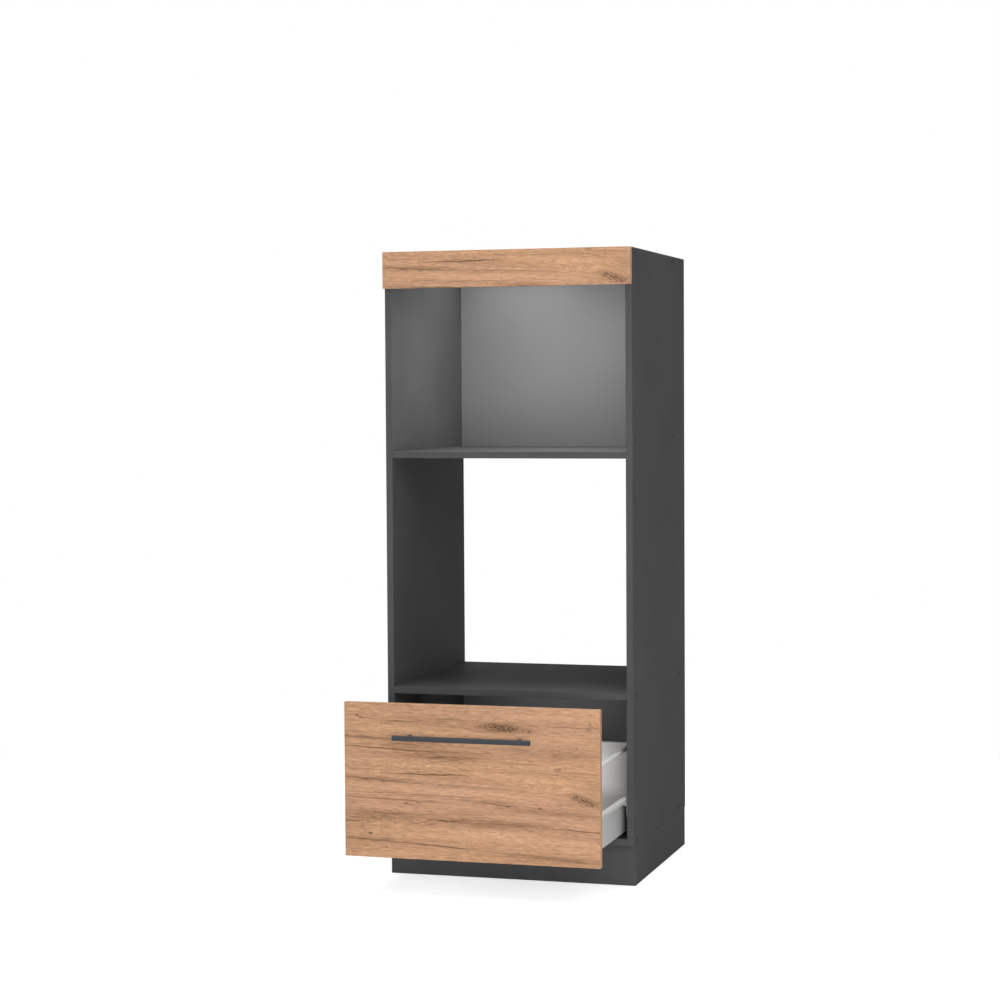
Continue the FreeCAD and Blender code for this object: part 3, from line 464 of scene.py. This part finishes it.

# %% [markdown]
# A decor sheet isn't equally busy everywhere. It has calm honey-coloured fields, broad brown
# shadows and places with pale flecks, where the print copies the marks of a saw. Soft ellipses
# set these fields. The noise that comes later only breaks up their edges.

# %% Fields of the sheet
FIELDS = [
    # middle u and v, half length and half height in millimetres, then how much lighter
    (-45, 57, 80, 8, -0.34), (-150, 60, 90, 7, -0.12), (215, 76, 130, 14, -0.22),
    (-245, 97, 80, 5, -0.30), (-150, 84, 60, 6, -0.26), (190, -55, 150, 13, -0.24),
    (-190, -80, 120, 12, -0.20), (40, -88, 130, 11, -0.22), (45, -38, 75, 6, -0.24),
    (190, -160, 130, 8, -0.18), (-215, 2, 110, 6, -0.22), (-230, -134, 90, 4, -0.18),
    (-90, 143, 100, 5, -0.20), (-110, 68, 110, 5, -0.10), (262, -27, 60, 15, -0.16),
    (75, 128, 75, 15, -0.14), (-150, 38, 190, 9, 0.16), (60, -115, 230, 13, 0.16),
    (-200, -60, 120, 8, 0.16), (165, 8, 80, 15, 0.20), (0, 112, 150, 8, 0.10),
    (215, 42, 80, 8, 0.12), (-180, 122, 90, 6, 0.12), (-80, -118, 160, 8, 0.12),
    (150, 155, 120, 9, 0.14), (-120, -160, 120, 8, 0.08), (-60, -18, 180, 8, 0.12),
    (60, 20, 80, 8, 0.14), (-230, 158, 90, 7, 0.08), (230, 110, 70, 7, 0.14),
]
FIELD_LEAN = -0.02
FIELD_STRENGTH = 1.15
FLECKED = [
    # middle u and v, half length and half height in millimetres, and the lean
    (-130, 38, 200, 11, 0.0), (165, 6, 65, 16, 0.0), (225, 45, 60, 12, 0.0), (60, 40, 70, 8, 0.0),
]


def field_tone(sheet):
    """How much lighter or darker the fields make the sheet."""
    total = 0.0
    for *place, change in FIELDS:
        reach = ellipse(sheet, (*place, FIELD_LEAN))[0]
        total = total + reach.between(1.6, 0.1, FIELD_STRENGTH * change)
    return total


print(len(FIELDS), "fields,", len(FLECKED), "with flecks")

# %% [markdown]
# The cracks and dark growth lines of the sheet are single strokes. Each is a thin lens between
# two points that fades at both ends, and a little noise makes it tremble. Placing them one by
# one keeps the character of this decor, which scattered noise alone wouldn't give.

# %% Strokes of the sheet
STROKES = [
    # start u, start v, end u, end v and half height in millimetres, then the strength
    (-205, 17, 14, 19, 1.9, 1.0), (-120, 18, -20, 19, 1.9, 0.9), (-345, 78, -30, 67, 2.0, 0.75),
    (-230, 72, -60, 69, 1.6, 0.75), (-120, 69, 70, 70, 1.6, 0.4), (-215, 135, -122, 135, 1.5, 0.85),
    (-275, 141, -220, 139, 1.3, 0.6), (-330, 99, -150, 91, 2.4, 0.45), (-345, 9, -90, -6, 2.8, 0.5),
    (-120, -5, 140, -8, 1.6, 0.5), (-345, -37, -30, -46, 1.9, 0.6), (-175, -28, 50, -31, 1.7, 0.5),
    (20, -40, 112, -47, 2.2, 0.5), (-350, -94, -252, -94, 1.7, 0.9),
    (175, -91, 350, -98, 1.8, 0.85), (-345, -131, -110, -140, 1.8, 0.6),
    (-170, -137, 30, -148, 2.0, 0.9), (0, -147, 170, -157, 1.8, 0.45),
    (140, 134, 340, 134, 1.6, 0.4), (-30, 30, 12, 30, 1.6, 0.6), (45, 29, 125, 27, 1.3, 0.45),
    (130, -155, 290, -166, 2.2, 0.4), (-105, 56, -50, 59, 2.2, 0.6), (-40, 54, 30, 60, 2.4, 0.4),
    (-82, -84, -46, -87, 2.2, 0.95), (-54, -86, -14, -83, 2.0, 0.85),
    (-158, -101, -84, -83, 1.6, 0.5), (-128, -102, -70, -88, 1.3, 0.4),
    (-30, -83, 90, -79, 1.6, 0.4), (0, -87, 190, -88, 1.4, 0.45), (60, -80, 200, -90, 1.4, 0.35),
    (-300, -84, -200, -88, 1.7, 0.5), (-290, -75, -120, -73, 1.5, 0.4),
    (-40, -67, 40, -69, 1.5, 0.45), (40, 50, 190, 47, 1.4, 0.45), (90, 163, 160, 160, 1.2, 0.4),
    (-230, -26, -170, -26, 1.8, 0.5), (150, 42, 260, 41, 1.2, 0.35),
    (-300, 25, -150, 24, 1.3, 0.35), (-90, 145, 10, 142, 1.6, 0.35),
    (100, -132, 260, -131, 1.2, 0.3), (180, -146, 300, -146, 1.2, 0.3),
]
LENS_SHARE = 0.56


def stroke(sheet, line):
    """One dark stroke of the sheet, a very long thin lens."""
    start_u, start_v, end_u, end_v, half_height, strength = line
    lean = (end_v - start_v) / (end_u - start_u)
    middle_u = (start_u + end_u) / 2
    middle_v = (start_v + end_v) / 2
    half_length = LENS_SHARE * (end_u - start_u)
    reach = ellipse(sheet, (middle_u, middle_v, half_length, half_height, lean))[0]
    return reach.between(1.0, 0.5, strength)


print(len(STROKES), "strokes on the oak sheet")

# %% [markdown]
# Pin knots are small brown drops where a twig once grew. They are spots like the others, only
# nearly as high as they are long, with a soft rim.

# %% Pin knots
PIN_KNOTS = [
    # middle u and v, half length and half height in millimetres, then the strength
    (-267, 146, 4.5, 3.4, 0.7), (-258, 141, 7.0, 1.8, 0.45), (-237, -120, 6.0, 2.6, 0.9),
    (-241, -95, 4.5, 3.2, 0.6), (-151, -50, 7.0, 2.4, 0.6), (-139, -53, 6.0, 1.8, 0.55),
    (-124, -46, 3.6, 1.6, 0.6), (86, -46, 6.0, 1.9, 0.8), (161, -48, 5.0, 2.0, 0.7),
    (245, 88, 3.0, 1.8, 0.7), (137, 122, 4.5, 4.0, 0.5), (203, 40, 9.0, 3.0, 0.45),
    (-255, -105, 4.5, 1.8, 0.5), (70, -110, 4.5, 1.8, 0.3), (200, -130, 8.0, 1.8, 0.35),
    (-200, -150, 6.0, 1.7, 0.35), (-177, -96, 2.6, 4.0, 0.45), (275, 143, 3.4, 4.0, 0.45),
    (272, 130, 8.0, 3.0, 0.4), (-204, -1, 6.0, 4.0, 0.3), (-70, -4, 6.0, 2.2, 0.4),
    (152, -156, 8.0, 4.0, 0.25), (200, 28, 3.0, 2.4, 0.35), (-60, 19, 3.0, 2.0, 0.5),
]


def pin_knot(sheet, drop):
    """One small brown knot with a soft rim."""
    *place, strength = drop
    return ellipse(sheet, (*place, 0.0))[0].between(1.5, 0.2, strength)


print(len(PIN_KNOTS), "pin knots on the oak sheet")

# %% [markdown]
# Now the tone of the sheet. Bands, streaks, grain and fibres are the same noise at four sizes,
# always much longer than high. A slanted figure breaks them up, and pale flecks stay inside their
# fields. The tone then runs from a brown to a light colour that drifts between honey and rose.

# %% Oak tone
OAK_HONEY = ink(217, 171, 133)
OAK_ROSE = ink(215, 169, 136)
OAK_DARK = ink(138, 103, 79)
OAK_MEAN = 0.60
FIGURE_SLANT = 1.4
FIGURE_CLIMB = 0.12
FLECK_SLANT = 0.9

oak, paint = begin("oak_decor")
u, v = oak_sheet(paint)
flow = grain_flow(u, v)
lie = joined(u, flow, 0.0)
bands = cloud(lie, per_metre=(1.1, 16.0, 1.0)) - 0.5
streaks = cloud(lie, per_metre=(3.2, 64.0, 1.0)) - 0.5
grain = cloud(lie, per_metre=(7.0, 200.0, 1.0), detail=3.0, roughness=0.6) - 0.5
fibres = cloud(lie, per_metre=(38.0, 600.0, 1.0), detail=1.0) - 0.5
slanted = joined(u + FIGURE_SLANT * v, flow - FIGURE_CLIMB * u, 5.0)
figure = cloud(slanted, per_metre=(36.0, 190.0, 1.0), roughness=0.6) - 0.5
sawn = joined(u + FLECK_SLANT * v, flow, 5.0)
flecks = cloud(sawn, per_metre=(95.0, 260.0, 1.0), detail=1.0).between(0.44, 0.66) - 0.4
sheet = spread(u, v)
flecked = strongest(ellipse(sheet, place)[0].between(1.3, 0.4) for place in FLECKED)
tone = OAK_MEAN + 0.70 * bands + 0.28 * streaks + 0.74 * grain + 1.10 * fibres + 0.40 * figure
tone = tone + field_tone(sheet) + 0.22 * flecked * flecks
tint = cloud(lie, per_metre=(1.4, 9.0, 1.0), detail=1.0).between(0.35, 0.65)
colour = tone.mix(OAK_DARK, tint.mix(OAK_HONEY, OAK_ROSE))
print("oak tone around", OAK_MEAN, "of the way from brown to honey")

# %% [markdown]
# The dark marks come next, as masks. A saw wave bent by noise gives faint growth lines with one
# sharp side. Pores are short fine dashes. The strokes, pin knots and the hearts of the larger
# knots are drawn on a sheet that noise has shaken a little, so that no edge is a clean curve. A
# hatching at an angle breaks up the hearts.

# %% Oak marks
LINES_PER_METRE = 30.0
LINE_WANDER = 2.2
LINE_SHARPNESS = 6.0
WAVE_ALONG = 6 * MM
WAVE_ACROSS = 4.2 * MM
SHAKE_ALONG = 10 * MM
SHAKE_ACROSS = 4 * MM
PAWS = ("upper_paw", "right_paw")
HATCH_COSINE = 0.85
HATCH_SINE = 0.53

wander = LINE_WANDER * cloud(lie, per_metre=(0.8, 5.0, 1.0), detail=1.0)
growth = paint.math("FRACT", flow * LINES_PER_METRE + wander)
shown_lines = cloud(lie, per_metre=(2.0, 26.0, 1.0), detail=1.0).between(0.45, 0.75)
lines = growth ** LINE_SHARPNESS * shown_lines
pores = cloud(lie, per_metre=(60.0, 430.0, 1.0), detail=1.0).between(0.58, 0.72)
wave = cloud(joined(u, v, 9.0), per_metre=(26.0, 30.0, 1.0)) - 0.5
shake = cloud(joined(u, v, 6.0), per_metre=(90.0, 200.0, 1.0), detail=1.0) - 0.5
wavy = spread(u + WAVE_ALONG * wave, v + WAVE_ACROSS * wave)
shaky = spread(u + SHAKE_ALONG * shake, v + WAVE_ACROSS * wave + SHAKE_ACROSS * shake)
strokes = strongest(stroke(wavy, line) for line in STROKES) * (0.85 + 0.9 * grain)
pins = strongest(pin_knot(shaky, drop) for drop in PIN_KNOTS)
hearts = strongest(ellipse(shaky, KNOTS[paw])[0].between(1.25, 0.2) for paw in PAWS)
turned_u = HATCH_COSINE * u - HATCH_SINE * v
turned_v = HATCH_SINE * u + HATCH_COSINE * v
turned = joined(turned_u, turned_v, 4.0)
hatch = cloud(turned, per_metre=(95.0, 360.0, 1.0), roughness=0.6).between(0.41, 0.60)
print("oak marks:", LINES_PER_METRE, "growth lines per metre, hatched hearts in", ", ".join(PAWS))

# %% [markdown]
# The masks darken the sheet in two steps, first to the brown of a line and then to the darker
# brown of a knot. The press leaves a fine relief of fibres and pores on the sheet, and the dark
# places of the print come out a little duller.

# %% Oak finish
OAK_LINE = ink(100, 73, 54)
OAK_KNOT = ink(78, 58, 44)

brown = (0.45 * lines) | strokes | (0.36 * pores) | (0.30 * hearts)
colour = brown.mix(colour, OAK_LINE)
darkest = (0.95 * pins) | (0.85 * hearts * hatch)
colour = darkest.mix(colour, OAK_KNOT)
dull = (0.6 * pores) | strokes | pins | (hearts * hatch)
relief = 0.35 * fibres + 0.3 * grain - 0.5 * pores
roughness = 0.56 + 0.12 * fibres + 0.12 * dull
coat(paint, colour, roughness, relief, depth=0.12 * MM, fixed={SHEEN: 0.04})
dress(oak, ["drawer_front", "top_fascia"])

# %% [markdown]
# The backs are thin hardboard. The side towards the niche is lacquered light grey. The other side
# is raw: brown, with the felted fibres and the faint mesh mark that the press screen leaves.
# Which side a point lies on is read from the direction that the surface faces.

# %% Hardboard backs
MESH_PITCH = 2.2 * MM

material, paint = begin("grey_hardboard")
spot = place_on(paint)
x, _, z = parts_of(spot)
rearward = facing(paint)[1].between(0.3, 0.7)
felt = cloud(spot, per_metre=260, detail=3.0, roughness=0.7)
patches = cloud(spot, per_metre=7, detail=3.0)
lacquer = (0.6 * patches + 0.4 * felt).mix(ink(112, 112, 112), ink(122, 122, 122))
raw_tone = (0.45 * patches + 0.55 * felt).between(0.25, 0.75)
raw = raw_tone.mix(ink(112, 80, 54), ink(158, 120, 86))
warp, weft = [paint.math("SINE", side * (math.tau / MESH_PITCH)) for side in (x, z)]
relief = 0.35 * felt + rearward * (0.4 * (warp * weft) + 0.5 * felt)
roughness = 0.46 + 0.3 * rearward + 0.08 * felt
colour = rearward.mix(lacquer, raw)
coat(paint, colour, roughness, relief, depth=0.08 * MM, fixed={SHEEN: 0.08})
dress(material, ["upper_back_panel", "lower_back_panel"])

# %% [markdown]
# The drawer's bottom and back are chipboard in a light grey melamine, the plain inside finish of
# most kitchens. It is smooth, with a faint cloud and a scatter of tiny specks.

# %% Light grey board
material, paint = begin("light_grey_board")
spot = place_on(paint)
drift = cloud(spot, per_metre=6, detail=3.0)
speck = cloud(spot, per_metre=900, detail=1.0)
colour = (0.6 * drift + 0.4 * speck).mix(ink(224, 224, 226), ink(237, 237, 238))
coat(paint, colour, 0.44 + 0.1 * speck, relief=speck, depth=0.04 * MM)
dress(material, ["drawer_bottom", "drawer_back"])

# %% [markdown]
# The drawer sides, runners and front brackets are bent sheet steel with a pale grey powder coat.
# Powder melts into a skin with a gentle orange peel, a few millimetres from crest to crest, so
# the relief is soft and the gloss is even. What faces up, such as the flanges on top, carries a
# painted highlight: a nearly white copy of the coat that stands in for the top light, so the
# tone follows the direction that the surface faces.

# %% Powder coat
STEEL = [
    "drawer_side_left", "drawer_side_right", "runner_left", "runner_right",
    "front_bracket_left", "front_bracket_right",
]

material, paint = begin("grey_steel")
spot = place_on(paint)
peel = cloud(spot, per_metre=330, detail=1.0)
drift = cloud(spot, per_metre=9)
# Painted highlight: surfaces that face up get a nearly white copy of the coat, standing in for the
# top light.
painted_top_light = facing(paint)[2].between(0.3, 0.8)
shade = 0.7 * drift + 0.3 * peel
wall = shade.mix(ink(174, 176, 174), ink(188, 190, 188))
painted_lit_flange = shade.mix(ink(230, 231, 229), ink(240, 241, 239))
colour = painted_top_light.mix(wall, painted_lit_flange)
roughness = 0.34 + 0.12 * peel
coat(paint, colour, roughness, relief=peel, depth=0.05 * MM, fixed={SHEEN: 0.12})
dress(material, STEEL)

# %% [markdown]
# The gallery rails are steel tube in a white enamel, glossier than the powder coat. A clear coat
# layer gives the crisp highlight, over a colour that hardly varies.

# %% White enamel
ENAMEL = {"Coat Weight": 0.5, "Coat Roughness": 0.12}

material, paint = begin("white_rail")
spot = place_on(paint)
drift = cloud(spot, per_metre=(30, 12, 30))
colour = drift.mix(ink(240, 240, 238), ink(248, 248, 247))
coat(paint, colour, 0.3 + 0.08 * drift, relief=drift, depth=0.03 * MM, fixed=ENAMEL)
dress(material, ["gallery_rail_left", "gallery_rail_right"])

# %% [markdown]
# Rollers are white nylon, the rail sockets and the soft bumpers are moulded grey plastic, and the
# caps over the screws are nearly black. Moulded pieces have a fine spark-eroded grain and a
# slightly waxy look. All three finishes use the same recipe with other colours.

# %% Moulded plastics
ROLLERS = ["front_roller_left", "front_roller_right", "rear_roller_left", "rear_roller_right"]
MOULDED = {
    # dark and light tone, roughness and sheen, and the pieces
    "nylon": (ink(226, 226, 222), ink(238, 238, 234), 0.38, 0.5, ROLLERS),
    "grey_plastic": (
        ink(184, 184, 184), ink(200, 200, 200), 0.42, 0.5, ["rail_sockets", "front_bumpers"],
    ),
    "dark_cap": (ink(44, 44, 45), ink(54, 54, 55), 0.6, 0.1, ["screw_caps"]),
}

for name, (dark, light, smoothest, sheen, pieces) in MOULDED.items():
    material, paint = begin(name)
    spot = place_on(paint)
    erosion = cloud(spot, per_metre=1100)
    drift = cloud(spot, per_metre=60)
    colour = (0.5 * erosion + 0.5 * drift).mix(dark, light)
    roughness = smoothest + 0.12 * erosion
    coat(paint, colour, roughness, erosion, depth=0.04 * MM, fixed={SHEEN: sheen})
    dress(material, pieces)

# %% [markdown]
# Screws, brackets, cams and axles are zinc plated. Zinc is a metal, so its colour shows only in
# its reflections. The plating has pale crystal patches and rubbed places, which change the
# roughness more than the colour.

# %% Zinc plating
ZINC = [
    "fascia_brackets", "plinth_brackets", "wall_brackets", "bracket_screws", "back_panel_screws",
    "carcass_screws", "shelf_cam_locks", "shelf_cam_bolts", "runner_screws", "front_roller_axles",
    "rear_roller_axles", "drawer_screws", "front_bracket_screws", "front_bracket_rivets",
    "handle_screws",
]
CRYSTALS_PER_METRE = 420.0

material, paint = begin("zinc_steel")
spot = place_on(paint)
crystal_sockets = {"Vector": spot, "Scale": CRYSTALS_PER_METRE}
crystals = paint.node("TexVoronoi", sockets=crystal_sockets, output="Color")
patch = parts_of(crystals)[0]
rubbed = cloud(spot, per_metre=140, detail=3.0)
colour = (0.6 * patch + 0.4 * rubbed).mix(ink(184, 186, 190), ink(212, 213, 214))
roughness = 0.26 + 0.12 * patch + 0.16 * rubbed
coat(paint, colour, roughness, rubbed, depth=0.03 * MM, fixed={"Metallic": 1.0})
dress(material, ZINC)

# %% [markdown]
# The bar handle has a nearly matt lacquer in a dark blue grey. Turned bar stock keeps faint rings
# under the lacquer, so the relief runs round the bar, with streaks along x that are very short
# and wide in the other directions.

# %% Handle lacquer
material, paint = begin("dark_handle")
spot = place_on(paint)
rings = cloud(spot, per_metre=(1500, 40, 40))
drift = cloud(spot, per_metre=(25, 60, 60))
colour = (0.4 * rings + 0.6 * drift).mix(ink(62, 65, 68), ink(70, 73, 76))
roughness = 0.30 + 0.14 * rings
coat(paint, colour, roughness, relief=rings, depth=0.03 * MM, fixed={SHEEN: 0.08})
dress(material, ["handle_bar", "handle_posts"])

# %% [markdown]
# The dowels are beech: pale pink-brown wood with short dark flecks. Nobody sees them in a closed
# joint, but a cabinet that is taken apart shows them.

# %% Beech dowels
BEECH_FLECK = ink(150, 110, 78)

material, paint = begin("beech")
spot = place_on(paint)
growth = cloud(spot, per_metre=120, detail=3.0)
fleck = cloud(spot, per_metre=(300, 900, 900), detail=1.0).between(0.6, 0.75)
wood = growth.mix(ink(206, 170, 132), ink(222, 190, 154))
colour = (0.6 * fleck).mix(wood, BEECH_FLECK)
coat(paint, colour, 0.6 + 0.1 * growth, relief=growth, depth=0.05 * MM)
dress(material, ["carcass_dowels", "plinth_dowels"])

# %% [markdown]
# The finishes add no thickness, so the dressed cabinet fills the same box as the solids.
